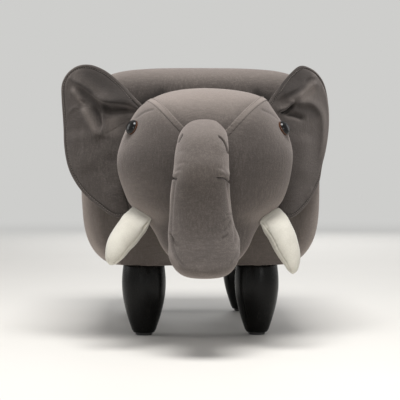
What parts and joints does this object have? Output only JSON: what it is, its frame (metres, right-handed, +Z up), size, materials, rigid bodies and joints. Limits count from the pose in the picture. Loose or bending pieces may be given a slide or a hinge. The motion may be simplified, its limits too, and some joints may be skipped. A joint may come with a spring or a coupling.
{
  "type": "elephant footstool",
  "caption": "Padded footstool in the shape of an elephant: a velvet box body on turned black legs, with a stuffed head, trunk, tusks, flapping ears and a swinging tail.",
  "frame": {"origin": "on the floor, under the middle of the whole stool's length and width", "axes": "+Z up, -Y the way the elephant faces, +X to the right of someone facing the elephant"},
  "size_m": [0.3458, 0.6481, 0.361],
  "materials": {
    "velvet": "short warm grey pile with a soft sheen",
    "ivory_cloth": "off-white plush cloth",
    "black_wood": "glossy black lacquer",
    "plywood": "raw board",
    "foam": "open-cell foam",
    "filling": "loose fibre",
    "steel": "zinc plated",
    "black_plastic": "moulded",
    "eye_plastic": "polished dome",
    "dust_cloth": "black non-woven cloth"
  },
  "bodies": {
    "stool": {"base_board": "plywood", "front_end_board": "plywood", "rear_end_board": "plywood", "left_side_board": "plywood", "right_side_board": "plywood", "seat_board": "plywood", "corner_block_front_left": "plywood", "corner_block_front_right": "plywood", "corner_block_rear_left": "plywood", "corner_block_rear_right": "plywood", "seat_screw_front_left": "steel", "seat_screw_front_right": "steel", "seat_screw_rear_left": "steel", "seat_screw_rear_right": "steel", "seat_foam": "foam", "body_wadding": "foam", "body_cover": "velvet", "dust_cover": "dust_cloth", "leg_front_left": "black_wood", "leg_front_right": "black_wood", "leg_rear_left": "black_wood", "leg_rear_right": "black_wood", "foot_glide_front_left": "black_plastic", "foot_glide_front_right": "black_plastic", "foot_glide_rear_left": "black_plastic", "foot_glide_rear_right": "black_plastic", "hanger_bolt_front_left": "steel", "hanger_bolt_front_right": "steel", "hanger_bolt_rear_left": "steel", "hanger_bolt_rear_right": "steel", "tee_nut_front_left": "steel", "tee_nut_front_right": "steel", "tee_nut_rear_left": "steel", "tee_nut_rear_right": "steel", "neck_board": "plywood", "head_bolt_upper": "steel", "head_bolt_lower": "steel", "insert_nut_upper": "steel", "insert_nut_lower": "steel", "head_filling": "filling", "head_cover": "velvet", "trunk_filling": "filling", "trunk_cover": "velvet", "tusk_left": "ivory_cloth", "tusk_right": "ivory_cloth", "eye_left": "eye_plastic", "eye_right": "eye_plastic", "eye_washer_left": "black_plastic", "eye_washer_right": "black_plastic"},
    "left_ear": {"ear_left": "velvet"},
    "right_ear": {"ear_right": "velvet"},
    "tail": {"tail": "velvet"}
  },
  "joints": [
    {"name": "left_ear_flap", "type": "hinge", "parent": "stool", "child": "left_ear", "pos_m": [-0.08095, -0.1533, 0.246], "axis": [0.1821, 0, 0.9833], "range_deg": [-5, 35], "stiffness_Nm_per_rad": 0.15},
    {"name": "right_ear_flap", "type": "hinge", "parent": "stool", "child": "right_ear", "pos_m": [0.08095, -0.1533, 0.246], "axis": [0.1821, 0, -0.9833], "range_deg": [-5, 35], "stiffness_Nm_per_rad": 0.15},
    {"name": "tail_swing", "type": "hinge", "parent": "stool", "child": "tail", "pos_m": [0, 0.305, 0.275], "axis": [0, 1, 0], "range_deg": [-50, 50]}
  ]
}
